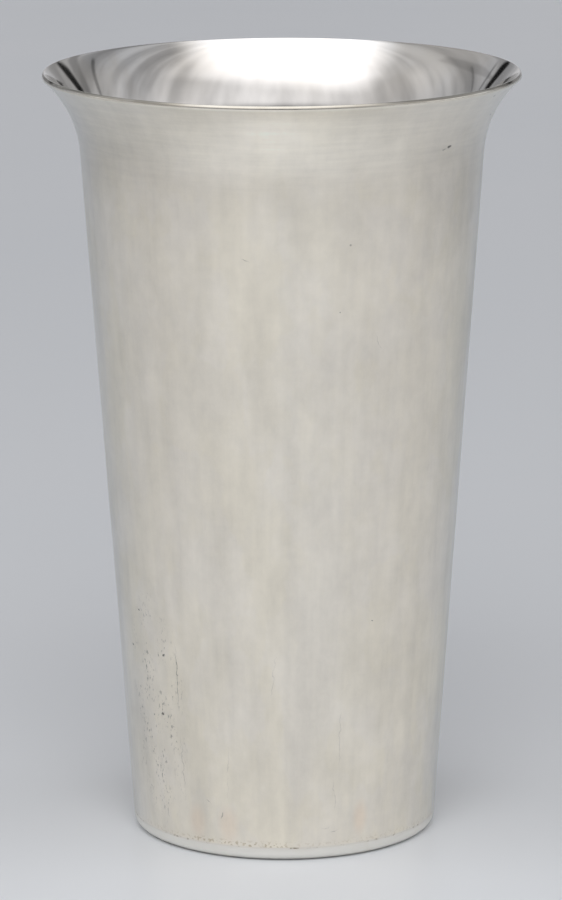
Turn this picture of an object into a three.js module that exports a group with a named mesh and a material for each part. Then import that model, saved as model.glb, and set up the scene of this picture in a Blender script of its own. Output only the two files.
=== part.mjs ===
// A silver-plated tumbler: a tall tapered beaker of sheet metal with a flared lip.
// It is made of a spun wall, a pressed base pan and the ring of solder in the seam between them.
// Millimetres, +Z up. The origin is the middle of the base, on the surface that the tumbler stands on.

import * as THREE from 'three';

// Wall: a straight taper whose top turns out in one round flare and ends in a square-cut lip.
const HEIGHT = 140;
const FOOT_DIAMETER = 55.2;
const WALL_TAPER_DEG = 4.03;
const WALL_SHEET = 0.9;
const FLARE_RADIUS = 20;
const LIP_ANGLE_DEG = 49.5;

// Base pan: a rounded heel, a flat ring to stand on, a raised middle and a spigot inside the wall.
const BASE_SHEET = 1;
const HEEL_RADIUS = 2;
const SEAM_HEIGHT = 2.4;
const REST_RING_WIDTH = 3;
const KICK_UP_HEIGHT = 0.6;
const KICK_UP_SLOPE_LENGTH = 2;
const SPIGOT_HEIGHT = 1.2;
const SPIGOT_SHEET = 0.8;
const INNER_CORNER_RADIUS = 1;

// Solder: a film in the butt and the lap of the seam, with a fillet over the spigot inside.
const SOLDER_FILM = 0.3;
const SOLDER_FILLET_LEG = 0.6;
const SOLDER_CLEARANCE = 0.05;

// Fineness of the round shapes.
const SIDES = 72;
const FLARE_STEPS = 10;
const CORNER_STEPS = 5;

const taper = THREE.MathUtils.degToRad(WALL_TAPER_DEG);
const lipAngle = THREE.MathUtils.degToRad(LIP_ANGLE_DEG);

function outerRadiusAt(z) {
  return FOOT_DIAMETER / 2 + z * Math.tan(taper);
}

function innerRadiusAt(z) {
  return outerRadiusAt(z) - WALL_SHEET / Math.cos(taper);
}

function spigotRadiusAt(z) {
  return innerRadiusAt(z) - SOLDER_FILM;
}

// Points of an arc in the half section, where angles run from outwards (0) towards the top.
function arc(centreR, centreZ, radius, from, to, steps) {
  const points = [];
  for (let i = 0; i <= steps; i += 1) {
    const angle = from + ((to - from) * i) / steps;
    const r = centreR + radius * Math.cos(angle);
    const z = centreZ + radius * Math.sin(angle);
    points.push(new THREE.Vector2(r, z));
  }
  return points;
}

function point(r, z) {
  return new THREE.Vector2(r, z);
}

// Turns a half section about the upright axis. The section runs up the outside and down the inside.
function turned(name, section, material) {
  const geometry = new THREE.LatheGeometry(section, SIDES);
  geometry.rotateX(Math.PI / 2);
  const mesh = new THREE.Mesh(geometry, material);
  mesh.name = name;
  return mesh;
}

const satinSilver = new THREE.MeshStandardMaterial({ color: 0xcbc7bd, roughness: 0.32, metalness: 1 });
const heelSilver = new THREE.MeshStandardMaterial({ color: 0xd0d0cc, roughness: 0.28, metalness: 1 });
const greySolder = new THREE.MeshStandardMaterial({ color: 0x8f877a, roughness: 0.55, metalness: 1 });

// The wall's sheet keeps its thickness through the flare, so both faces turn about one centre outside it.
const flareCentreZ = HEIGHT - (FLARE_RADIUS + WALL_SHEET) * Math.sin(lipAngle);
const flareStartZ = flareCentreZ + FLARE_RADIUS * Math.sin(taper);
const flareCentreR = outerRadiusAt(flareStartZ) + FLARE_RADIUS * Math.cos(taper);
const wallBottom = SEAM_HEIGHT + SOLDER_FILM;

function flareFace(radius, from, to) {
  return arc(flareCentreR, flareCentreZ, radius, Math.PI - from, Math.PI - to, FLARE_STEPS);
}

function makeWall() {
  const section = [
    point(outerRadiusAt(wallBottom), wallBottom),
    ...flareFace(FLARE_RADIUS, taper, lipAngle),
    ...flareFace(FLARE_RADIUS + WALL_SHEET, lipAngle, taper),
    point(innerRadiusAt(wallBottom), wallBottom),
  ];
  section.push(section[0].clone());
  return turned('tumbler_wall', section, satinSilver);
}

// The heel's arc touches the table below and the line of the wall's outer face above.
const heelCentreR = outerRadiusAt(HEEL_RADIUS) - HEEL_RADIUS / Math.cos(taper);
const restInnerR = heelCentreR - REST_RING_WIDTH;
const kickUpR = restInnerR - KICK_UP_SLOPE_LENGTH;
const spigotTop = SEAM_HEIGHT + SPIGOT_HEIGHT;

function makeBasePan() {
  const spigotInnerR = spigotRadiusAt(SEAM_HEIGHT) - SPIGOT_SHEET;
  const cornerR = spigotInnerR - INNER_CORNER_RADIUS;
  const cornerZ = BASE_SHEET + INNER_CORNER_RADIUS;
  const section = [
    point(0, KICK_UP_HEIGHT),
    point(kickUpR, KICK_UP_HEIGHT),
    point(restInnerR, 0),
    ...arc(heelCentreR, HEEL_RADIUS, HEEL_RADIUS, -Math.PI / 2, -taper, CORNER_STEPS),
    point(outerRadiusAt(SEAM_HEIGHT), SEAM_HEIGHT),
    point(spigotRadiusAt(SEAM_HEIGHT), SEAM_HEIGHT),
    point(spigotRadiusAt(spigotTop), spigotTop),
    point(spigotInnerR, spigotTop),
    ...arc(cornerR, cornerZ, INNER_CORNER_RADIUS, 0, -Math.PI / 2, CORNER_STEPS),
    point(restInnerR, BASE_SHEET),
    point(kickUpR, KICK_UP_HEIGHT + BASE_SHEET),
    point(0, KICK_UP_HEIGHT + BASE_SHEET),
  ];
  return turned('base_pan', section, heelSilver);
}

function makeSolder() {
  const footBottom = SEAM_HEIGHT + SOLDER_CLEARANCE;
  const footTop = wallBottom - SOLDER_CLEARANCE;
  const ledge = spigotTop + SOLDER_CLEARANCE;
  const filletTop = ledge + SOLDER_FILLET_LEG;
  const wallSide = (z) => innerRadiusAt(z) - SOLDER_CLEARANCE;
  const spigotSide = (z) => spigotRadiusAt(z) + SOLDER_CLEARANCE;
  const section = [
    point(spigotSide(footBottom), footBottom),
    point(outerRadiusAt(footBottom), footBottom),
    point(outerRadiusAt(footTop), footTop),
    point(wallSide(footTop), footTop),
    point(wallSide(filletTop), filletTop),
    point(wallSide(ledge) - SOLDER_FILLET_LEG, ledge),
    point(spigotSide(ledge), ledge),
  ];
  section.push(section[0].clone());
  return turned('seam_solder', section, greySolder);
}

const tumbler = new THREE.Group();
tumbler.name = 'tumbler';
tumbler.add(makeWall(), makeBasePan(), makeSolder());

export default tumbler;
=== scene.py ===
import math

import bmesh
import bpy
from mathutils import Matrix, Vector


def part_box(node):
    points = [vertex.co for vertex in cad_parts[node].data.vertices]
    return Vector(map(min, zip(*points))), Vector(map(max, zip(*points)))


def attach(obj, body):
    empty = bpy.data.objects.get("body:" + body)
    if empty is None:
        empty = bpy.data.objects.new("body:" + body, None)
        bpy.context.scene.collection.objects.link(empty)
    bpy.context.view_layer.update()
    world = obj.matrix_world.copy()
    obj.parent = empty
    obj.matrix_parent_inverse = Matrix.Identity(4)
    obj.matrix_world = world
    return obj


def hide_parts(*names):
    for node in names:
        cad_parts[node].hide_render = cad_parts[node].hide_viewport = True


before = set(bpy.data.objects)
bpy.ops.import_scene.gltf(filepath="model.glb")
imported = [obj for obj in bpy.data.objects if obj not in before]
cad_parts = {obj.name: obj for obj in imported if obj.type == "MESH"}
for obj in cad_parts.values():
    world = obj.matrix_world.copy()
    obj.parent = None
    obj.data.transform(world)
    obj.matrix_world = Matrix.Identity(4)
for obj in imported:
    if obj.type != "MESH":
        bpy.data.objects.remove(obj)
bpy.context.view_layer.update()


# Base pan: a disc of nickel silver sheet, pressed into a shallow pan and silver-plated.
# It stands on a flat ring behind its rounded heel, its middle is pressed up clear of the table,
# and its rim goes up inside the wall as a spigot. Polishing left turning rings on both faces.
pan_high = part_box("base_pan")[1]
wall_low, wall_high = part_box("tumbler_wall")
WALL_TAPER = math.radians(4.03)
WALL_SHEET = 0.0009
SEAM_GAP = 0.0003
PAN_SHEET = 0.001
HEEL_RADIUS = 0.002
RESTING_RING_WIDTH = 0.003
RAISED_MIDDLE = 0.0006
RAISING_STEP = 0.002
SPIGOT_SHEET = 0.0008
INNER_CORNER = 0.001
SHEET_ARRIS = 0.00003
ARRIS_SEGMENTS = 3
HEEL_STEPS, PRESSED_STEPS, CORNER_STEPS = 14, 8, 8
TURN_STEPS = 240
MERGE_DISTANCE = 1e-6
HARD_EDGE = math.radians(32)
wall_bottom = wall_low.z
seam_height = wall_bottom - SEAM_GAP
foot_radius = pan_high.x - seam_height * math.tan(WALL_TAPER)


def outer_radius(z):
    return foot_radius + z * math.tan(WALL_TAPER)


def inner_radius(z):
    return outer_radius(z) - WALL_SHEET / math.cos(WALL_TAPER)


def spigot_radius(z):
    return inner_radius(z) - SEAM_GAP


def arc(centre, radius, start, end, steps):
    angles = [start + (end - start) * i / steps for i in range(steps + 1)]
    return [(centre[0] + radius * math.cos(a), centre[1] + radius * math.sin(a)) for a in angles]


def pressed_step(start, end, steps):
    """Points of the soft S by which a pressed face goes from one level to another."""
    shares = [i / steps for i in range(steps + 1)]
    soft = [(1 - math.cos(math.pi * s)) / 2 for s in shares]
    return [
        (start[0] + (end[0] - start[0]) * s, start[1] + (end[1] - start[1]) * rise)
        for s, rise in zip(shares, soft)
    ]


def turn_section(name, section, arris):
    """Draws a half section as a chain of vertices, spins it round the axis and eases its arrises."""
    bpy.ops.object.select_all(action="DESELECT")
    bpy.ops.mesh.primitive_plane_add(size=PAN_SHEET)
    piece = bpy.context.object
    piece.name = piece.data.name = name
    bpy.ops.object.mode_set(mode="EDIT")
    bpy.ops.mesh.select_mode(type="VERT")
    bpy.ops.mesh.merge(type="CENTER")
    bpy.ops.transform.translate(value=(section[0][0], 0, section[0][1]))
    for here, there in zip(section, section[1:]):
        move = (there[0] - here[0], 0, there[1] - here[1])
        bpy.ops.mesh.extrude_region_move(TRANSFORM_OT_translate={"value": move})
    bpy.ops.mesh.select_all(action="SELECT")
    bpy.ops.mesh.spin(steps=TURN_STEPS, angle=math.tau, center=(0, 0, 0), axis=(0, 0, 1))
    bpy.ops.mesh.select_all(action="SELECT")
    bpy.ops.mesh.remove_doubles(threshold=MERGE_DISTANCE)
    bpy.ops.mesh.normals_make_consistent(inside=False)
    bpy.ops.object.mode_set(mode="OBJECT")
    bpy.ops.object.modifier_add(type="BEVEL")
    easing = piece.modifiers[-1]
    easing.width = arris
    easing.segments = ARRIS_SEGMENTS
    easing.limit_method = "ANGLE"
    easing.angle_limit = HARD_EDGE
    bpy.ops.object.modifier_apply(modifier=easing.name)
    bpy.ops.object.shade_smooth_by_angle(angle=HARD_EDGE)
    return piece


def base_pan_section():
    heel_centre = (outer_radius(HEEL_RADIUS) - HEEL_RADIUS / math.cos(WALL_TAPER), HEEL_RADIUS)
    ring_inside = heel_centre[0] - RESTING_RING_WIDTH
    middle = ring_inside - RAISING_STEP
    spigot_inside = spigot_radius(seam_height) - SPIGOT_SHEET
    corner_centre = (spigot_inside - INNER_CORNER, PAN_SHEET + INNER_CORNER)
    raised = RAISED_MIDDLE + PAN_SHEET
    underside = pressed_step((middle, RAISED_MIDDLE), (ring_inside, 0), PRESSED_STEPS)
    upper_side = pressed_step((ring_inside, PAN_SHEET), (middle, raised), PRESSED_STEPS)
    return [
        (0, RAISED_MIDDLE),
        (middle / 2, RAISED_MIDDLE),
        *underside,
        *arc(heel_centre, HEEL_RADIUS, -math.pi / 2, -WALL_TAPER, HEEL_STEPS),
        (outer_radius(seam_height), seam_height),
        (spigot_radius(seam_height), seam_height),
        (spigot_radius(pan_high.z), pan_high.z),
        (spigot_inside, pan_high.z),
        *arc(corner_centre, INNER_CORNER, 0, -math.pi / 2, CORNER_STEPS),
        *upper_side,
        (middle / 2, raised),
        (0, raised),
    ]


def add_node(tree, kind, inputs, **settings):
    """Adds a node, with sockets linked where inputs gives a socket and set where it gives a value."""
    node = tree.nodes.new(kind)
    for setting, value in settings.items():
        setattr(node, setting, value)
    for socket, value in inputs.items():
        if isinstance(value, bpy.types.NodeSocket):
            tree.links.new(value, node.inputs[socket])
        else:
            node.inputs[socket].default_value = value
    return node


def reckon(tree, operation, *values):
    """The result of a Math node."""
    return add_node(tree, "ShaderNodeMath", dict(enumerate(values)), operation=operation).outputs[0]


def spread(tree, value, low, high, to_low=0.0, to_high=1.0):
    """Value from low to high as a soft change from to_low to to_high."""
    sockets = {"Value": value, "From Min": low, "From Max": high, "To Min": to_low, "To Max": to_high}
    return add_node(tree, "ShaderNodeMapRange", sockets, interpolation_type="SMOOTHSTEP").outputs[0]


def tint(tree, share, plain, stained):
    """A colour between plain and stained."""
    sockets = {"Factor": share, "A": plain, "B": stained}
    mix = tree.nodes.new("ShaderNodeMix")
    mix.data_type = "RGBA"
    for socket, value in sockets.items():
        place = next(s for s in mix.inputs if s.name == socket and s.enabled)
        if isinstance(value, bpy.types.NodeSocket):
            tree.links.new(value, place)
        else:
            place.default_value = value
    return next(s for s in mix.outputs if s.enabled)


def effect(name, inputs, output):
    """A shader node group with one output, and the sockets inside it."""
    tree = bpy.data.node_groups.new(name, "ShaderNodeTree")
    for socket, kind, value in inputs:
        made = tree.interface.new_socket(socket, in_out="INPUT", socket_type=kind)
        if value is not None:
            made.default_value = value
    tree.interface.new_socket(output, in_out="OUTPUT", socket_type="NodeSocketFloat")
    sockets = tree.nodes.new("NodeGroupInput").outputs
    result = tree.nodes.new("NodeGroupOutput").inputs[output]
    return tree, sockets, result


def use_effect(tree, group, inputs):
    """The output of a node group with these inputs."""
    return add_node(tree, "ShaderNodeGroup", inputs, node_tree=group).outputs[0]


def tarnish_effect():
    """Cloudy patches, such as the film that air leaves on silver."""
    inputs = [
        ("Position", "NodeSocketVector", None),
        ("Patch Size", "NodeSocketFloat", 0.02),
        ("Edge", "NodeSocketFloat", 0.1),
        ("Cover", "NodeSocketFloat", 0.5),
    ]
    tree, sockets, result = effect("tarnish patches", inputs, "Mask")
    fineness = reckon(tree, "DIVIDE", 1, sockets["Patch Size"])
    cloud = add_node(
        tree,
        "ShaderNodeTexNoise",
        {
            "Vector": sockets["Position"],
            "Scale": fineness,
            "Detail": 4,
            "Roughness": 0.55,
            "Distortion": 0.4,
        },
    ).outputs["Fac"]
    middle = reckon(tree, "SUBTRACT", 1, sockets["Cover"])
    low = reckon(tree, "SUBTRACT", middle, sockets["Edge"])
    high = reckon(tree, "ADD", middle, sockets["Edge"])
    tree.links.new(spread(tree, cloud, low, high), result)
    return tree


def turning_effect():
    """Fine uneven rings that the polishing mop leaves as the piece turns, by their place along it."""
    inputs = [
        ("Position", "NodeSocketVector", None),
        ("Along", "NodeSocketFloat", 0),
        ("Spacing", "NodeSocketFloat", 0.0004),
    ]
    tree, sockets, result = effect("turning rings", inputs, "Height")
    rows = reckon(tree, "DIVIDE", sockets["Along"], sockets["Spacing"])
    apart = add_node(tree, "ShaderNodeSeparateXYZ", {0: sockets["Position"]}).outputs
    stretch = 22
    across = reckon(tree, "MULTIPLY", apart["X"], stretch)
    deep = reckon(tree, "MULTIPLY", apart["Y"], stretch)
    place = add_node(tree, "ShaderNodeCombineXYZ", {"X": across, "Y": deep, "Z": rows}).outputs[0]
    lines = add_node(tree, "ShaderNodeTexNoise", {"Vector": place, "Scale": 1, "Detail": 2})
    tree.links.new(lines.outputs["Fac"], result)
    return tree


def scratch_effect():
    """Short hairlines of handling, one in each cell of a loose grid, each turned its own way."""
    inputs = [
        ("Place", "NodeSocketVector", None),
        ("Spacing", "NodeSocketFloat", 0.012),
        ("Length", "NodeSocketFloat", 0.3),
        ("Width", "NodeSocketFloat", 0.01),
        ("Share", "NodeSocketFloat", 0.5),
    ]
    tree, sockets, result = effect("handling scratches", inputs, "Mask")
    fineness = reckon(tree, "DIVIDE", 1, sockets["Spacing"])
    grown = add_node(
        tree, "ShaderNodeVectorMath", {0: sockets["Place"], "Scale": fineness}, operation="SCALE"
    ).outputs[0]
    cell = add_node(
        tree, "ShaderNodeTexVoronoi", {"Vector": grown, "Scale": 1}, voronoi_dimensions="2D"
    ).outputs
    draw = add_node(tree, "ShaderNodeSeparateColor", {0: cell["Color"]}).outputs
    offset = add_node(
        tree, "ShaderNodeVectorMath", {0: grown, 1: cell["Position"]}, operation="SUBTRACT"
    ).outputs[0]
    turn = reckon(tree, "MULTIPLY", draw["Red"], math.pi)
    turned = add_node(
        tree, "ShaderNodeVectorRotate", {"Vector": offset, "Angle": turn}, rotation_type="Z_AXIS"
    ).outputs[0]
    apart = add_node(tree, "ShaderNodeSeparateXYZ", {0: turned}).outputs
    reach = reckon(tree, "MULTIPLY", sockets["Length"], draw["Green"])
    along = reckon(tree, "LESS_THAN", reckon(tree, "ABSOLUTE", apart["X"]), reach)
    across = spread(tree, reckon(tree, "ABSOLUTE", apart["Y"]), 0, sockets["Width"], 1, 0)
    drawn = reckon(tree, "LESS_THAN", draw["Blue"], sockets["Share"])
    tree.links.new(reckon(tree, "MULTIPLY", reckon(tree, "MULTIPLY", along, across), drawn), result)
    return tree


def object_place(tree):
    """The place on the piece in the shared frame."""
    return tree.nodes.new("ShaderNodeTexCoord").outputs["Object"]


def new_finish(name, metallic=1):
    """A new material, its node tree and its Principled BSDF, bare metal unless told otherwise."""
    material = bpy.data.materials.new(name)
    material.use_nodes = True
    tree = material.node_tree
    shader = tree.nodes["Principled BSDF"]
    shader.inputs["Metallic"].default_value = metallic
    return material, tree, shader


def connect(tree, shader, sockets):
    """Links values that change over the surface to the shader's sockets."""
    for socket, value in sockets.items():
        tree.links.new(value, shader.inputs[socket])


tarnish_patches = tarnish_effect()
turning_rings = turning_effect()
handling_scratches = scratch_effect()


def pan_silver():
    """Plate on the pan: rubbed, with turning rings, hairlines and a few stains."""
    clean = (0.885, 0.865, 0.81, 1)
    stained = (0.84, 0.8, 0.71, 1)
    stain_strength = 0.5
    scratch_depth = 0.6
    rubbed, dulled = 0.32, 0.4
    material, tree, shader = new_finish("pan_silver")
    place = object_place(tree)
    stain = use_effect(
        tree, tarnish_patches, {"Position": place, "Patch Size": 0.009, "Edge": 0.12, "Cover": 0.36}
    )
    apart = add_node(tree, "ShaderNodeSeparateXYZ", {0: place}).outputs
    flat = add_node(tree, "ShaderNodeCombineXYZ", {"X": apart["X"], "Y": apart["Y"]}).outputs[0]
    radius = add_node(tree, "ShaderNodeVectorMath", {0: flat}, operation="LENGTH").outputs["Value"]
    rings = use_effect(tree, turning_rings, {"Position": place, "Along": radius, "Spacing": 0.00035})
    scratches = use_effect(
        tree,
        handling_scratches,
        {"Place": place, "Spacing": 0.006, "Length": 0.5, "Width": 0.012, "Share": 0.6},
    )
    colour = tint(tree, reckon(tree, "MULTIPLY", stain, stain_strength), clean, stained)
    dull = spread(tree, stain, 0, 1, rubbed, dulled)
    height = reckon(tree, "SUBTRACT", rings, reckon(tree, "MULTIPLY", scratches, scratch_depth))
    relief = add_node(
        tree, "ShaderNodeBump", {"Strength": 0.12, "Distance": 0.0001, "Height": height}
    ).outputs[0]
    connect(tree, shader, {"Base Color": colour, "Roughness": dull, "Normal": relief})
    return material


base_pan = turn_section("pressed_base_pan", base_pan_section(), SHEET_ARRIS)
base_pan.data.materials.append(pan_silver())
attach(base_pan, "root")
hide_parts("base_pan")


# Wall: a cone spun from nickel silver sheet and silver-plated, whose top turns out in one round
# flare to a square-cut lip. Outside it is satin, with a thin tarnish and small pits; inside and on
# the lip's edge it is still bright. It stands on the solder in the seam, over the pan's spigot.
FLARE_RADIUS = 0.02
LIP_ANGLE = math.radians(49.5)
LIP_OUTER_ROUND, LIP_INNER_ROUND = 0.00055, 0.00015
LIP_STEPS = 6
FLARE_STEPS = 32
WALL_STEPS = 36
WAVE_LENGTH = 0.03
WAVE_DEPTH = 0.0001
mean_radius = outer_radius(wall_high.z / 2)
PITTED_PLACE = (math.radians(-52) * mean_radius, 0.026, 0)
PITTED_SIZE = (0.0105, 0.027, 1)
BROWNED_PLACE = math.radians(-18) * mean_radius
CLOUD_SHADE = 0.095
STREAK_SHADE = 0.095
GRAIN_SHADE = 0.08
BRUSHING_SHADE = 0.075
BRUSHED_FROM, BRUSHED_TO = 0.118, 0.131
MILLIMETRE = 0.001
MARK_WANDER = 0.0003
MARK_WANDER_FINENESS = 700


def wall_section():
    flare_z = wall_high.z - (FLARE_RADIUS + WALL_SHEET) * math.sin(LIP_ANGLE)
    flare_start = flare_z + FLARE_RADIUS * math.sin(WALL_TAPER)
    flare = (outer_radius(flare_start) + FLARE_RADIUS * math.cos(WALL_TAPER), flare_z)
    straight, lip = math.pi - WALL_TAPER, math.pi - LIP_ANGLE
    inside_radius = FLARE_RADIUS + WALL_SHEET
    outer_round, inner_round = FLARE_RADIUS + LIP_OUTER_ROUND, inside_radius - LIP_INNER_ROUND
    outer_end, inner_end = lip + LIP_OUTER_ROUND / outer_round, lip + LIP_INNER_ROUND / inner_round
    outer_centre = arc(flare, outer_round, outer_end, outer_end, 1)[0]
    inner_centre = arc(flare, inner_round, inner_end, inner_end, 1)[0]
    heights = [wall_bottom + (flare_start - wall_bottom) * i / WALL_STEPS for i in range(WALL_STEPS)]
    section = [
        *[(outer_radius(z), z) for z in heights],
        *arc(flare, FLARE_RADIUS, straight, outer_end, FLARE_STEPS),
        *arc(outer_centre, LIP_OUTER_ROUND, outer_end - math.pi, outer_end - math.pi / 2, LIP_STEPS)[1:],
        *arc(inner_centre, LIP_INNER_ROUND, inner_end - math.pi / 2, inner_end, LIP_STEPS)[:-1],
        *arc(flare, inside_radius, inner_end, straight, FLARE_STEPS),
        *[(inner_radius(z), z) for z in reversed(heights)],
    ]
    return [*section, section[0]]


def add_waviness(piece):
    """The slight waves of hand spinning, as real shape."""
    waves = bpy.data.textures.new("spinning_waves", "CLOUDS")
    waves.noise_scale = WAVE_LENGTH
    bpy.ops.object.modifier_add(type="DISPLACE")
    shaping = piece.modifiers[-1]
    shaping.texture = waves
    shaping.texture_coords = "LOCAL"
    shaping.strength = WAVE_DEPTH
    bpy.ops.object.modifier_apply(modifier=shaping.name)


def unrolled(tree, place):
    """Place on the wall as if it were cut open at the back and laid flat: around, then up."""
    apart = add_node(tree, "ShaderNodeSeparateXYZ", {0: place}).outputs
    towards = reckon(tree, "MULTIPLY", apart["Y"], -1)
    angle = reckon(tree, "ARCTAN2", apart["X"], towards)
    around = reckon(tree, "MULTIPLY", angle, mean_radius)
    return add_node(tree, "ShaderNodeCombineXYZ", {"X": around, "Y": apart["Z"]}).outputs[0]


def pit_effect():
    """Round pits where the plate has worn or lifted, one in each cell of a loose grid."""
    inputs = [
        ("Place", "NodeSocketVector", None),
        ("Spacing", "NodeSocketFloat", 0.003),
        ("Size", "NodeSocketFloat", 0.00015),
        ("Share", "NodeSocketFloat", 0.5),
    ]
    tree, sockets, result = effect("plate pits", inputs, "Mask")
    core = 0.4
    fineness = reckon(tree, "DIVIDE", 1, sockets["Spacing"])
    cell = add_node(
        tree,
        "ShaderNodeTexVoronoi",
        {"Vector": sockets["Place"], "Scale": fineness},
        voronoi_dimensions="2D",
    ).outputs
    draw = add_node(tree, "ShaderNodeSeparateColor", {0: cell["Color"]}).outputs
    reach = reckon(tree, "MULTIPLY", reckon(tree, "MULTIPLY", sockets["Size"], fineness), draw["Red"])
    hole = spread(tree, cell["Distance"], reckon(tree, "MULTIPLY", reach, core), reach, 1, 0)
    drawn = reckon(tree, "LESS_THAN", draw["Green"], sockets["Share"])
    tree.links.new(reckon(tree, "MULTIPLY", hole, drawn), result)
    return tree


plate_pits = pit_effect()

# Pits, scratches and stains on the wall, painted shade on the flare's sides and painted highlights at
# its front: degrees round from the front, height, half width and half length in millimetres, the lean in
# degrees, and how strong they are.
PITS = [
    (52.2, 129.5, 0.55, 0.42, 0, 1),
    (73.3, 133.5, 0.34, 0.24, 0, 0.8),
    (-58.5, 44.0, 0.34, 0.26, 0, 0.9),
    (-65.2, 36.8, 0.37, 0.35, 0, 0.8),
    (-45.7, 36.7, 0.34, 0.32, 0, 1),
    (-55.8, 33.6, 0.15, 0.75, 0, 0.8),
    (-48.1, 25.7, 0.34, 0.32, 0, 1),
    (-43.8, 23.5, 0.27, 0.38, -20, 0.8),
    (-53.5, 24.9, 0.20, 0.42, 0, 0.7),
    (31.0, 44.5, 0.22, 0.20, 0, 0.8),
]
SCRATCHES = [
    (50.0, 129.4, 0.14, 0.85, 90, 0.5),
    (-40.0, 33.0, 0.11, 7.50, 0, 0.8),
    (-39.5, 16.0, 0.12, 8.00, 2, 0.4),
    (-20.6, 16.5, 0.12, 6.00, -3, 0.2),
    (-3.6, 35.0, 0.14, 4.50, -8, 0.3),
    (20.0, 23.0, 0.14, 7.00, 0, 0.18),
    (18.5, 12.0, 0.14, 4.00, 6, 0.2),
    (-48.5, 7.0, 0.14, 1.30, 15, 0.4),
    (-28.7, 10.5, 0.14, 0.90, 50, 0.4),
    (-23.5, 8.3, 0.16, 0.90, -35, 0.5),
    (15.5, 6.2, 0.12, 1.40, -78, 0.3),
    (18.5, 5.4, 0.12, 1.20, -75, 0.4),
    (-10.7, 111.6, 0.10, 1.00, 62, 0.4),
    (29.5, 96.0, 0.10, 1.80, 18, 0.25),
]
STAINS = [
    (-34, 6.5, 3.0, 4.5, 0, 0.9),
    (-21, 6.5, 3.2, 5.0, 0, 0.9),
    (29, 7.5, 2.4, 4.5, 0, 1),
]
# Painted shade: darker patches on the flare's two sides, where the metal mirrors dim light.
PAINTED_FLARE_SIDE_SHADE = [
    (-55, 131, 22, 14, 0, 0.16),
    (55, 122, 16, 17, 0, 0.12),
]
# Painted highlights: a bright spot under the lip at the front, and a broad one lower on the front of the
# wall.
PAINTED_FRONT_HIGHLIGHTS = [
    (0, 134, 10, 6, 0, 0.12),
    (-8, 108, 20, 20, 0, 0.08),
]


def clouding(tree, laid_flat, across, up, detail, fall):
    """Uneven brightness from -1 to 1, in cells of a width and a height, with finer ones inside."""
    place = add_node(
        tree, "ShaderNodeMapping", {"Vector": laid_flat, "Scale": (1 / across, 1 / up, 1)}
    ).outputs[0]
    cloud = add_node(
        tree,
        "ShaderNodeTexNoise",
        {"Vector": place, "Scale": 1, "Detail": detail, "Roughness": fall},
        noise_dimensions="2D",
    ).outputs["Fac"]
    return reckon(tree, "MULTIPLY_ADD", cloud, 2, -1)


def mark_mask(tree, laid_flat, marks, core):
    """A mask of marks on a place laid flat: even in their core, a share of their size, then fading."""
    deepest = 0
    for angle, up, width, length, lean, depth in marks:
        mark = add_node(
            tree,
            "ShaderNodeMapping",
            {
                "Vector": laid_flat,
                "Location": (math.radians(angle) * mean_radius, up * MILLIMETRE, 0),
                "Rotation": (0, 0, math.radians(lean)),
                "Scale": (width * MILLIMETRE, length * MILLIMETRE, 1),
            },
            vector_type="TEXTURE",
        ).outputs[0]
        distance = add_node(tree, "ShaderNodeVectorMath", {0: mark}, operation="LENGTH").outputs["Value"]
        deepest = reckon(tree, "MAXIMUM", deepest, spread(tree, distance, core, 1, depth, 0))
    return deepest


def wandering(tree, laid_flat):
    """A place laid flat, shifted a little to and fro, so that what is drawn on it comes out uneven."""
    wander = add_node(
        tree,
        "ShaderNodeTexNoise",
        {"Vector": laid_flat, "Scale": MARK_WANDER_FINENESS, "Detail": 2},
        noise_dimensions="2D",
        normalize=False,
    ).outputs["Color"]
    shift = {0: wander, 1: (MARK_WANDER, MARK_WANDER, 0), 2: laid_flat}
    return add_node(tree, "ShaderNodeVectorMath", shift, operation="MULTIPLY_ADD").outputs[0]


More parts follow.
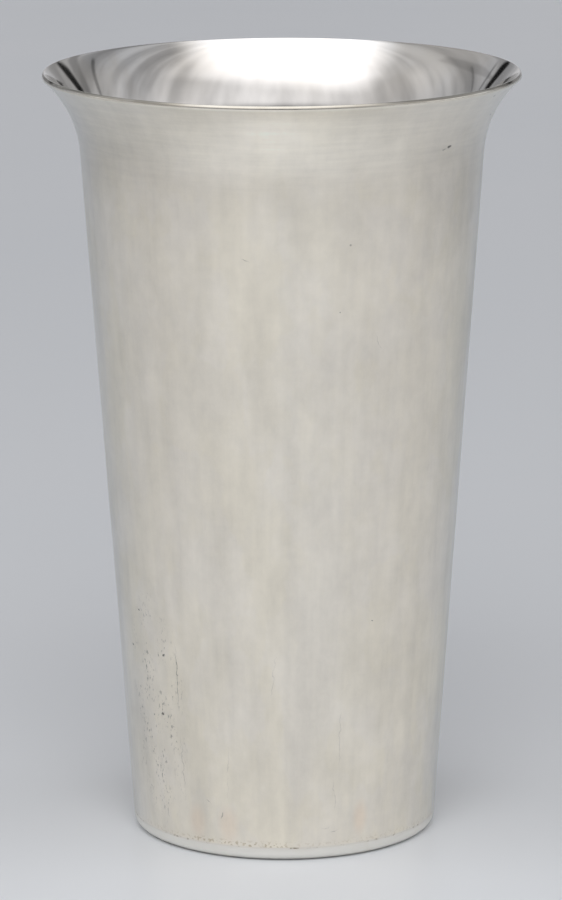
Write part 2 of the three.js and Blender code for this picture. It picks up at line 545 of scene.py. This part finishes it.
def plate_tone(tree, laid_flat, in_flare):
    """The film of tarnish as a mask, the plate's grain, and its colour with clouds and brushing, painted
    shade on the flare's sides and painted highlights at the front.
    """
    clean = (0.895, 0.842, 0.75, 1)
    warm = (0.885, 0.828, 0.71, 1)
    rosy = (0.885, 0.783, 0.66, 1)
    mark_core = 0.2
    calmer_in_flare = spread(tree, in_flare, 0, 1, 1, 0.5)
    film = clouding(tree, laid_flat, across=0.011, up=0.02, detail=5, fall=0.62)
    film = spread(tree, film, -0.35, 0.35, 0, 0.7)
    tide_marks = clouding(tree, laid_flat, across=0.016, up=0.024, detail=4, fall=0.5)
    tide_marks = spread(tree, tide_marks, 0.02, 0.1, 0, 0.4)
    film = reckon(tree, "MULTIPLY", reckon(tree, "ADD", film, tide_marks), calmer_in_flare)
    stains = mark_mask(tree, laid_flat, STAINS, mark_core)
    colour = tint(tree, stains, tint(tree, film, clean, warm), rosy)
    grain = clouding(tree, laid_flat, across=0.0028, up=0.0045, detail=5, fall=0.72)
    streaks = clouding(tree, laid_flat, across=0.005, up=0.07, detail=4, fall=0.62)
    clouds = clouding(tree, laid_flat, across=0.008, up=0.014, detail=3, fall=0.5)
    brushing = clouding(tree, laid_flat, across=0.012, up=0.001, detail=4, fall=0.6)
    brushing = reckon(tree, "MULTIPLY", brushing, spread(tree, in_flare, 0, 1, 0.15, 1))
    uneven = reckon(tree, "MULTIPLY", streaks, STREAK_SHADE)
    uneven = reckon(tree, "MULTIPLY_ADD", clouds, CLOUD_SHADE, uneven)
    uneven = reckon(tree, "MULTIPLY", uneven, calmer_in_flare)
    uneven = reckon(tree, "MULTIPLY_ADD", grain, GRAIN_SHADE, uneven)
    uneven = reckon(tree, "MULTIPLY_ADD", brushing, BRUSHING_SHADE, uneven)
    # Painted shade: the flare's sides are darkened in the plate's colour.
    uneven = reckon(tree, "SUBTRACT", uneven, mark_mask(tree, laid_flat, PAINTED_FLARE_SIDE_SHADE, mark_core))
    # Painted highlights: the front under the lip and lower down are brightened in the plate's colour.
    uneven = reckon(tree, "ADD", uneven, mark_mask(tree, laid_flat, PAINTED_FRONT_HIGHLIGHTS, mark_core))
    brightness = reckon(tree, "ADD", uneven, 1)
    colour = add_node(
        tree, "ShaderNodeVectorMath", {0: colour, "Scale": brightness}, operation="SCALE"
    ).outputs[0]
    return film, grain, colour


def plate_wear(tree, laid_flat):
    """A mask of pits, specks and scratches in the plate, and one of the small blisters round them."""
    speck_strength, stray_strength = 0.6, 0.5
    mark_core = 0.35
    cluster = add_node(
        tree,
        "ShaderNodeMapping",
        {"Vector": laid_flat, "Location": PITTED_PLACE, "Scale": PITTED_SIZE},
        vector_type="TEXTURE",
    ).outputs[0]
    near = add_node(tree, "ShaderNodeVectorMath", {0: cluster}, operation="LENGTH").outputs["Value"]
    in_cluster = spread(tree, near, 0.4, 1, 1, 0)
    groups = clouding(tree, laid_flat, across=0.003, up=0.006, detail=2, fall=0.5)
    groups = reckon(tree, "MULTIPLY", spread(tree, groups, -0.15, 0.2), in_cluster)
    specks = clouding(tree, laid_flat, across=0.0005, up=0.001, detail=2, fall=0.6)
    specks = reckon(tree, "MULTIPLY", spread(tree, specks, 0.12, 0.5, 0, speck_strength), groups)
    strays = use_effect(
        tree, plate_pits, {"Place": laid_flat, "Spacing": 0.006, "Size": 0.0003, "Share": 0.02}
    )
    worn = reckon(tree, "MAXIMUM", specks, reckon(tree, "MULTIPLY", strays, stray_strength))
    uneven = wandering(tree, laid_flat)
    worn = reckon(tree, "MAXIMUM", worn, mark_mask(tree, uneven, PITS, mark_core))
    broken = clouding(tree, laid_flat, across=0.0012, up=0.0024, detail=2, fall=0.5)
    broken = spread(tree, broken, -0.3, 0.05, 0.25, 1)
    scored = reckon(tree, "MULTIPLY", mark_mask(tree, uneven, SCRATCHES, mark_core), broken)
    worn = reckon(tree, "MAXIMUM", worn, scored)
    blisters = clouding(tree, laid_flat, across=0.0011, up=0.0026, detail=2, fall=0.5)
    return worn, reckon(tree, "MULTIPLY", spread(tree, blisters, 0.05, 0.4), in_cluster)


def seam_browning(tree, laid_flat, height):
    """Brown specks just over the seam, where drink got under the plate, most of them on the left."""
    band_low, band_high = wall_bottom + 0.0003, wall_bottom + 0.0014
    around = add_node(tree, "ShaderNodeSeparateXYZ", {0: laid_flat}).outputs["X"]
    beside = reckon(tree, "ABSOLUTE", reckon(tree, "SUBTRACT", around, BROWNED_PLACE))
    low = spread(tree, height, band_low, band_high, 1, 0)
    specks = clouding(tree, laid_flat, across=0.0007, up=0.0005, detail=2, fall=0.5)
    specks = reckon(tree, "MULTIPLY", spread(tree, specks, 0.02, 0.35), low)
    return reckon(tree, "MULTIPLY", specks, spread(tree, beside, 0.007, 0.014, 0.6, 0.18))


def satin_silver():
    """Plate outside: satin from brushing round the axis, with tarnish, pits, scratches and browning."""
    pitted = (0.14, 0.13, 0.115, 1)
    browned = (0.42, 0.33, 0.19, 1)
    edge = (0.9, 0.94, 1, 1)
    satin, filmed, scratch_dulling = 0.29, 0.32, 0.08
    pit_darkness = 0.92
    pit_depth, scratch_depth, blister_height = 6, 0.8, 5
    material, tree, shader = new_finish("satin_silver")
    shader.inputs["Anisotropic"].default_value = 0.5
    shader.inputs["Anisotropic Rotation"].default_value = 0.25
    shader.inputs["Specular Tint"].default_value = edge
    place = object_place(tree)
    height = add_node(tree, "ShaderNodeSeparateXYZ", {0: place}).outputs["Z"]
    laid_flat = unrolled(tree, place)
    in_flare = spread(tree, height, BRUSHED_FROM, BRUSHED_TO)
    film, grain, colour = plate_tone(tree, laid_flat, in_flare)
    worn, blisters = plate_wear(tree, laid_flat)
    colour = tint(tree, seam_browning(tree, laid_flat, height), colour, browned)
    colour = tint(tree, reckon(tree, "MULTIPLY", worn, pit_darkness), colour, pitted)
    rings = use_effect(tree, turning_rings, {"Position": place, "Along": height, "Spacing": 0.0005})
    rings = reckon(tree, "MULTIPLY", rings, spread(tree, in_flare, 0, 1, 0.15, 0.5))
    scratches = use_effect(
        tree,
        handling_scratches,
        {"Place": laid_flat, "Spacing": 0.014, "Length": 0.25, "Width": 0.006, "Share": 0.4},
    )
    dull = spread(tree, film, 0, 1, satin, filmed)
    dull = reckon(tree, "MULTIPLY_ADD", scratches, scratch_dulling, dull)
    dents = reckon(tree, "MULTIPLY", scratches, scratch_depth)
    dents = reckon(tree, "MULTIPLY_ADD", worn, pit_depth, dents)
    rough_near_foot = spread(tree, height, 0.006, 0.03, 1.4, 0.4)
    raised = reckon(tree, "MULTIPLY_ADD", grain, rough_near_foot, rings)
    raised = reckon(tree, "MULTIPLY_ADD", blisters, blister_height, raised)
    relief = add_node(
        tree,
        "ShaderNodeBump",
        {"Strength": 0.12, "Distance": 0.0001, "Height": reckon(tree, "SUBTRACT", raised, dents)},
    ).outputs[0]
    connect(tree, shader, {"Base Color": colour, "Roughness": dull, "Normal": relief})
    return material


def bright_silver():
    """Plate inside: bright, with faint turning rings and a thin film near the lip."""
    clean = (0.92, 0.91, 0.885, 1)
    warm = (0.83, 0.78, 0.69, 1)
    bright, filmed = 0.06, 0.1
    material, tree, shader = new_finish("bright_silver")
    place = object_place(tree)
    height = add_node(tree, "ShaderNodeSeparateXYZ", {0: place}).outputs["Z"]
    film = use_effect(
        tree, tarnish_patches, {"Position": place, "Patch Size": 0.02, "Edge": 0.2, "Cover": 0.5}
    )
    film = reckon(tree, "MULTIPLY", film, spread(tree, height, 0.126, 0.138, 0.15, 0.7))
    rings = use_effect(tree, turning_rings, {"Position": place, "Along": height, "Spacing": 0.0006})
    colour = tint(tree, film, clean, warm)
    dull = spread(tree, film, 0, 1, bright, filmed)
    relief = add_node(
        tree, "ShaderNodeBump", {"Strength": 0.02, "Distance": 0.0001, "Height": rings}
    ).outputs[0]
    connect(tree, shader, {"Base Color": colour, "Roughness": dull, "Normal": relief})
    return material


def worn_lip():
    """Plate on the lip's cut edge: rubbed thin in places, with small nicks."""
    plated = (0.64, 0.62, 0.56, 1)
    worn = (0.56, 0.535, 0.465, 1)
    bright, dulled = 0.09, 0.14
    material, tree, shader = new_finish("worn_lip")
    place = object_place(tree)
    rubbed = use_effect(
        tree, tarnish_patches, {"Position": place, "Patch Size": 0.006, "Edge": 0.2, "Cover": 0.5}
    )
    scratches = use_effect(
        tree,
        handling_scratches,
        {"Place": place, "Spacing": 0.004, "Length": 0.4, "Width": 0.02, "Share": 0.6},
    )
    relief = add_node(
        tree, "ShaderNodeBump", {"Strength": 0.1, "Distance": 0.00005, "Height": scratches}
    ).outputs[0]
    colour = tint(tree, rubbed, plated, worn)
    dull = spread(tree, rubbed, 0, 1, bright, dulled)
    connect(tree, shader, {"Base Color": colour, "Roughness": dull, "Normal": relief})
    return material


def assign_faces(piece, slot, belongs):
    """Gives faces one of the piece's materials, by their height and the lean of their normals."""
    bpy.ops.object.mode_set(mode="EDIT")
    bpy.ops.mesh.select_mode(type="FACE")
    bpy.ops.mesh.select_all(action="DESELECT")
    mesh = bmesh.from_edit_mesh(piece.data)
    for face in mesh.faces:
        middle = face.calc_center_median()
        outwards = Vector((middle.x, middle.y, 0)).dot(face.normal)
        face.select = belongs(middle.z, outwards, face.normal.z)
    bmesh.update_edit_mesh(piece.data)
    piece.active_material_index = slot
    bpy.ops.object.material_slot_assign()
    bpy.ops.object.mode_set(mode="OBJECT")


wall = turn_section("spun_wall", wall_section(), SHEET_ARRIS)
add_waviness(wall)
for finish in (satin_silver(), bright_silver(), worn_lip()):
    wall.data.materials.append(finish)
lip_low = wall_high.z - WALL_SHEET
BRIGHT_INSIDE, LIP_EDGE = 1, 2
assign_faces(wall, BRIGHT_INSIDE, lambda height, outwards, upwards: outwards < 0)
assign_faces(
    wall, LIP_EDGE, lambda height, outwards, upwards: height > lip_low and min(outwards, upwards) > 0
)
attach(wall, "root")
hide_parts("tumbler_wall")


# Solder: the silver solder that fills the seam between wall and base pan. It is wiped flush
# outside, where it has pitted and browned in specks, and stands as a small fillet inside.
FILLET_LEG = 0.0006
SOLDER_SET_BACK = 0.00002
SOLDER_CLEARANCE = 0.00002
SOLDER_ARRIS = 0.00002
FILLET_HOLLOW = 0.35


def solder_section():
    ledge = pan_high.z + SOLDER_CLEARANCE
    fillet_top = ledge + FILLET_LEG
    top = wall_bottom
    on_wall = inner_radius(fillet_top) - SOLDER_CLEARANCE
    toe = inner_radius(ledge) - FILLET_LEG
    hollow = FILLET_LEG * FILLET_HOLLOW
    section = [
        (spigot_radius(seam_height) + SOLDER_CLEARANCE, seam_height),
        (outer_radius(seam_height) - SOLDER_SET_BACK, seam_height),
        (outer_radius(top) - SOLDER_SET_BACK, top),
        (inner_radius(top) - SOLDER_CLEARANCE, top),
        (on_wall, fillet_top),
        (on_wall - hollow, ledge + hollow),
        (toe, ledge),
        (spigot_radius(ledge) + SOLDER_CLEARANCE, ledge),
    ]
    return [*section, section[0]]


def grey_solder():
    """Solder: dull grey, with a fine grain and brown specks."""
    clean = (0.85, 0.81, 0.74, 1)
    browned = (0.3, 0.23, 0.14, 1)
    speck_strength = 0.7
    wiped, pitted = 0.3, 0.6
    material, tree, shader = new_finish("grey_solder")
    place = object_place(tree)
    specks = use_effect(
        tree, tarnish_patches, {"Position": place, "Patch Size": 0.0016, "Edge": 0.08, "Cover": 0.36}
    )
    grain = use_effect(
        tree, tarnish_patches, {"Position": place, "Patch Size": 0.0003, "Edge": 0.3, "Cover": 0.5}
    )
    colour = tint(tree, reckon(tree, "MULTIPLY", specks, speck_strength), clean, browned)
    dull = spread(tree, specks, 0, 1, wiped, pitted)
    relief = add_node(
        tree, "ShaderNodeBump", {"Strength": 0.3, "Distance": 0.00005, "Height": grain}
    ).outputs[0]
    connect(tree, shader, {"Base Color": colour, "Roughness": dull, "Normal": relief})
    return material


solder = turn_section("seam_solder_ring", solder_section(), SOLDER_ARRIS)
solder.data.materials.append(grey_solder())
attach(solder, "root")
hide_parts("seam_solder")


# Table: a wide pale board with a faint gloss and an eased edge. The tumbler stands on it, and it
# runs so far back that it fills the whole background.
TABLE_SIZE = 8
TABLE_THICKNESS = 0.02
TABLE_EDGE = 0.01


def table_white():
    """Matt lacquer of the table, very slightly cloudy."""
    pale = (0.655, 0.67, 0.69, 1)
    shaded = (0.638, 0.66, 0.684, 1)
    smooth, matt = 0.34, 0.38
    material, tree, shader = new_finish("table_white", metallic=0)
    shader.inputs["Specular IOR Level"].default_value = 0.3
    place = object_place(tree)
    cloud = use_effect(
        tree, tarnish_patches, {"Position": place, "Patch Size": 0.3, "Edge": 0.3, "Cover": 0.5}
    )
    colour = tint(tree, cloud, pale, shaded)
    connect(tree, shader, {"Base Color": colour, "Roughness": spread(tree, cloud, 0, 1, smooth, matt)})
    return material


bpy.ops.object.select_all(action="DESELECT")
bpy.ops.mesh.primitive_plane_add(size=TABLE_SIZE)
table = bpy.context.object
table.name = "table"
bpy.ops.object.mode_set(mode="EDIT")
bpy.ops.mesh.extrude_region_move(TRANSFORM_OT_translate={"value": (0, 0, -TABLE_THICKNESS)})
bpy.ops.mesh.select_all(action="SELECT")
bpy.ops.mesh.normals_make_consistent(inside=False)
bpy.ops.mesh.bevel(offset=TABLE_EDGE, segments=ARRIS_SEGMENTS)
bpy.ops.object.mode_set(mode="OBJECT")
table.data.materials.append(table_white())


# Light: a soft box over the table in front of the tumbler, in a tent of pale cloth that hangs in soft
# folds. The metal mirrors the tent, with its bright roof, the dim opening for the lens and the dark
# slits beside its back cloth. Its walls also fill the shadows on the table.
SOFT_BOX_PLACE = Vector((-0.02, -0.4, 0.5))
SOFT_BOX_TARGET = Vector((0, -0.1, 0))
SOFT_BOX_SIZE = 0.35
SOFT_BOX_LEVEL = 4.15
FILL_TINT = (1, 1, 1.02)
FRONT_TINT, BACK_TINT = (1.02, 1, 1.01, 1), (0.99, 1, 1.05, 1)
TENT_BORDERS = (14, 40, 66)
TENT_BLEND = 5
TENT_TOP_LEVEL = 0.8
TINT_FROM, TINT_TO = 60, 130
FOLD_WIDTH, FOLD_HEIGHT = 13, 70
FOLDS_DEEPEN_FROM, FOLDS_DEEPEN_TO = 40, 110
FRONT_FOLD_DEPTH, BACK_FOLD_DEPTH = 0.12, 0.3
ROOF_ELEVATION = math.radians(60)
ROOF_BACK_SHIFT, ROOF_SIDE_SHIFT = 0.18, -0.09
ROOF_HALF_WIDTH, ROOF_FLARING, ROOF_LEAN = 0.8, 0.5, 0.3
ROOF_FRONT, ROOF_BACK = 0.75, 1.2
ROOF_CORE, ROOF_EDGE = 0.3, 1.15
ROOF_LEVEL = 1.6
OPENING_HALF_WIDTH, OPENING_TOP = 13, 15
OPENING_CORE = 0.3
OPENING_TOP_EDGE = 6
OPENING_DEPTH = 0.7
SIDE_LEAD = 0.1
MIRRORINGS = 12
SLIT_LEVEL = 15
SLIT_END = 3
SLIT_NARROWING, SLIT_CORE = 0.2, 0.5
HALF_TURN = 180

# Tent cloth: degrees round from the front, then its level low down, at middle height and high up,
# and the level at which it fills the shadows.
TENT_LEVELS = [
    (20, 0.25, 0.8, 0.9, 0.97),
    (60, 0.75, 0.52, 0.75, 0.97),
    (92, 1.05, 0.47, 0.4, 1.67),
    (122, 0.55, 0.37, 0.38, 0.17),
    (147, 0.2, 0.3, 0.25, 0.17),
    (170, 0.45, 0.4, 0.4, 0.17),
]

# Slits: the side they are on, degrees round from the front at the slit level, how far they lean for
# each degree of height, their lower and upper end and half width in degrees, and how dark they are.
SLITS = [
    (1, 148.5, 1.2, 7, 23, 7, 0.98),
    (1, 138.5, 0.8, 6, 34, 6, 0.38),
    (1, 125, 0.55, 8, 37, 2, 0.6),
    (-1, 154.5, 1.2, 7, 21, 6, 0.98),
    (-1, 134, 0, 10, 32, 1.3, 0.45),
    (-1, 143, 1.1, 8, 24, 1.6, 0.5),
    (-1, 151, -1.15, 14, 44, 6, 0.22),
]


def soft_box(name, place, target, size, level):
    """A square area light as bright as level, which the metal doesn't mirror."""
    light = bpy.data.lights.new(name, "AREA")
    light.size = size
    light.energy = math.pi * size * size * level
    lamp = bpy.data.objects.new(name, light)
    bpy.context.scene.collection.objects.link(lamp)
    lamp.location = place
    lamp.rotation_euler = (target - place).to_track_quat("-Z", "Y").to_euler()
    lamp.visible_camera = False
    lamp.visible_glossy = False
    return lamp


def between(tree, value, low, high, soft):
    """1 where value is between low and high, with soft ends inside them, and 0 outside."""
    over = spread(tree, value, low, low + soft)
    under = spread(tree, value, high - soft, high, 1, 0)
    return reckon(tree, "MULTIPLY", over, under)


def blend(tree, share, plain, other):
    """A value between plain and other."""
    return reckon(tree, "MULTIPLY_ADD", reckon(tree, "SUBTRACT", other, plain), share, plain)


def shade_by(tree, level, mask, depth):
    """Level, darkened by depth where the mask is 1."""
    return reckon(tree, "MULTIPLY", level, reckon(tree, "MULTIPLY_ADD", mask, -depth, 1))


def cloth_levels(tree, turned, elevation):
    """The level of the tent's cloth from the ramp of its levels, and that of its fill light."""
    ramp = add_node(tree, "ShaderNodeValToRGB", {"Fac": reckon(tree, "DIVIDE", turned, HALF_TURN)})
    stops = ramp.color_ramp.elements
    while len(stops) < len(TENT_LEVELS):
        stops.new(0.5)
    for stop, (angle, *levels) in zip(stops, TENT_LEVELS):
        stop.position = angle / HALF_TURN
        stop.color = levels
    low, middle, high = add_node(tree, "ShaderNodeSeparateColor", {0: ramp.outputs["Color"]}).outputs
    level, fill = low, ramp.outputs["Alpha"]
    for border, upper in zip(TENT_BORDERS, (middle, high, TENT_TOP_LEVEL)):
        above = spread(tree, elevation, border - TENT_BLEND, border + TENT_BLEND)
        level = blend(tree, above, level, upper)
    return level, shade_by(tree, fill, above, 1)


def roof_mask(tree, direction):
    """1 on the bright patch of the tent's roof over the camera, fading towards its edge."""
    inwards = (0, -math.cos(ROOF_ELEVATION), math.sin(ROOF_ELEVATION))
    backwards = (0, math.sin(ROOF_ELEVATION), math.cos(ROOF_ELEVATION))
    depth, back = [
        add_node(
            tree, "ShaderNodeVectorMath", {0: direction, 1: axis}, operation="DOT_PRODUCT"
        ).outputs["Value"]
        for axis in (inwards, backwards)
    ]
    beside = add_node(tree, "ShaderNodeSeparateXYZ", {0: direction}).outputs["X"]
    along = reckon(tree, "SUBTRACT", reckon(tree, "DIVIDE", back, depth), ROOF_BACK_SHIFT)
    in_front = reckon(tree, "MINIMUM", along, 0)
    middle = reckon(tree, "MULTIPLY_ADD", in_front, ROOF_LEAN, ROOF_SIDE_SHIFT)
    across = reckon(tree, "SUBTRACT", reckon(tree, "DIVIDE", beside, depth), middle)
    half_width = reckon(tree, "MULTIPLY_ADD", in_front, -ROOF_FLARING, ROOF_HALF_WIDTH)
    to_front = reckon(tree, "DIVIDE", along, -ROOF_FRONT)
    to_back = reckon(tree, "DIVIDE", along, ROOF_BACK)
    spot = add_node(
        tree,
        "ShaderNodeCombineXYZ",
        {
            "X": reckon(tree, "DIVIDE", across, half_width),
            "Y": reckon(tree, "MAXIMUM", to_front, to_back),
        },
    ).outputs[0]
    distance = add_node(tree, "ShaderNodeVectorMath", {0: spot}, operation="LENGTH").outputs["Value"]
    ahead = reckon(tree, "GREATER_THAN", depth, 0)
    return reckon(tree, "MULTIPLY", spread(tree, distance, ROOF_CORE, ROOF_EDGE, 1, 0), ahead)


def tent_world():
    """The tent as the world: what the metal mirrors, and the fill light that falls on matt things."""
    world = bpy.data.worlds.new("light_tent")
    world.use_nodes = True
    tree = world.node_tree
    direction = tree.nodes.new("ShaderNodeTexCoord").outputs["Generated"]
    apart = add_node(tree, "ShaderNodeSeparateXYZ", {0: direction}).outputs
    front = reckon(tree, "MULTIPLY", apart["Y"], -1)
    azimuth = reckon(tree, "DEGREES", reckon(tree, "ARCTAN2", apart["X"], front))
    turned = reckon(tree, "ABSOLUTE", azimuth)
    elevation = reckon(tree, "DEGREES", reckon(tree, "ARCSINE", apart["Z"]))
    level, fill = cloth_levels(tree, turned, elevation)
    hung = add_node(
        tree,
        "ShaderNodeCombineXYZ",
        {
            "X": reckon(tree, "DIVIDE", azimuth, FOLD_WIDTH),
            "Y": reckon(tree, "DIVIDE", elevation, FOLD_HEIGHT),
        },
    ).outputs[0]
    folds = add_node(
        tree, "ShaderNodeTexNoise", {"Vector": hung, "Scale": 1, "Detail": 3}, noise_dimensions="2D"
    ).outputs["Fac"]
    fold_depth = spread(
        tree, turned, FOLDS_DEEPEN_FROM, FOLDS_DEEPEN_TO, FRONT_FOLD_DEPTH, BACK_FOLD_DEPTH
    )
    shadows = reckon(tree, "MULTIPLY", spread(tree, folds, 0.25, 0.75, -1, 1), fold_depth)
    level = shade_by(tree, level, shadows, 1)
    leading_side = spread(tree, elevation, TENT_BORDERS[0], TENT_BORDERS[1], 1, -1)
    level = shade_by(tree, level, reckon(tree, "MULTIPLY", apart["X"], leading_side), -SIDE_LEAD)
    for side, angle, lean, low, high, half_width, depth in SLITS:
        raised = reckon(tree, "SUBTRACT", elevation, SLIT_LEVEL)
        hanging = reckon(tree, "MULTIPLY_ADD", raised, -lean, turned)
        beside = reckon(tree, "ABSOLUTE", reckon(tree, "SUBTRACT", hanging, angle))
        narrow = half_width * SLIT_NARROWING
        gape = spread(tree, elevation, low, (low + high) / 2, narrow, half_width)
        across = spread(tree, beside, reckon(tree, "MULTIPLY", gape, SLIT_CORE), gape, 1, 0)
        along = reckon(tree, "MULTIPLY", across, between(tree, elevation, low, high, SLIT_END))
        on_side = reckon(tree, "GREATER_THAN", reckon(tree, "MULTIPLY", azimuth, side), 0)
        level = shade_by(tree, level, reckon(tree, "MULTIPLY", along, on_side), depth)
    opening = reckon(
        tree,
        "MULTIPLY",
        spread(tree, turned, OPENING_HALF_WIDTH * OPENING_CORE, OPENING_HALF_WIDTH, 1, 0),
        spread(tree, elevation, OPENING_TOP - OPENING_TOP_EDGE, OPENING_TOP, 1, 0),
    )
    level = shade_by(tree, level, opening, OPENING_DEPTH)
    level = blend(tree, roof_mask(tree, direction), level, ROOF_LEVEL)
    on_matt = tree.nodes.new("ShaderNodeLightPath").outputs["Is Diffuse Ray"]
    cloth = tint(tree, spread(tree, turned, TINT_FROM, TINT_TO), FRONT_TINT, BACK_TINT)
    mirrored, filling = [
        add_node(tree, "ShaderNodeVectorMath", {0: hue, "Scale": strength}, operation="SCALE").outputs[0]
        for hue, strength in ((cloth, level), (FILL_TINT, fill))
    ]
    colour = tint(tree, on_matt, mirrored, filling)
    tree.links.new(colour, tree.nodes["Background"].inputs["Color"])
    return world


soft_box("front_soft_box", SOFT_BOX_PLACE, SOFT_BOX_TARGET, SOFT_BOX_SIZE, SOFT_BOX_LEVEL)
bpy.context.scene.world = tent_world()
bpy.context.scene.view_settings.view_transform = "Standard"
# The bright inside mirrors itself many times over.
bpy.context.scene.cycles.glossy_bounces = MIRRORINGS


# Camera: a long lens that looks down on the tumbler from straight ahead, a little out of level.
CAMERA_PLACE = Vector((0, -0.9168, 0.2726))
CAMERA_PITCH = math.radians(-12.46)
CAMERA_HEADING = math.radians(0.0243)
CAMERA_ROLL = math.radians(-0.2)
SENSOR = 36
PHOTO_HEIGHT = 900
FOCAL_PIXELS = 5135.3

lens = bpy.data.cameras.new("camera")
lens.sensor_width = SENSOR
lens.lens = FOCAL_PIXELS / PHOTO_HEIGHT * SENSOR
camera = bpy.data.objects.new("camera", lens)
bpy.context.scene.collection.objects.link(camera)
camera.matrix_world = (
    Matrix.Translation(CAMERA_PLACE)
    @ Matrix.Rotation(CAMERA_HEADING, 4, "Z")
    @ Matrix.Rotation(math.pi / 2 + CAMERA_PITCH, 4, "X")
    @ Matrix.Rotation(CAMERA_ROLL, 4, "Z")
)
bpy.context.scene.camera = camera
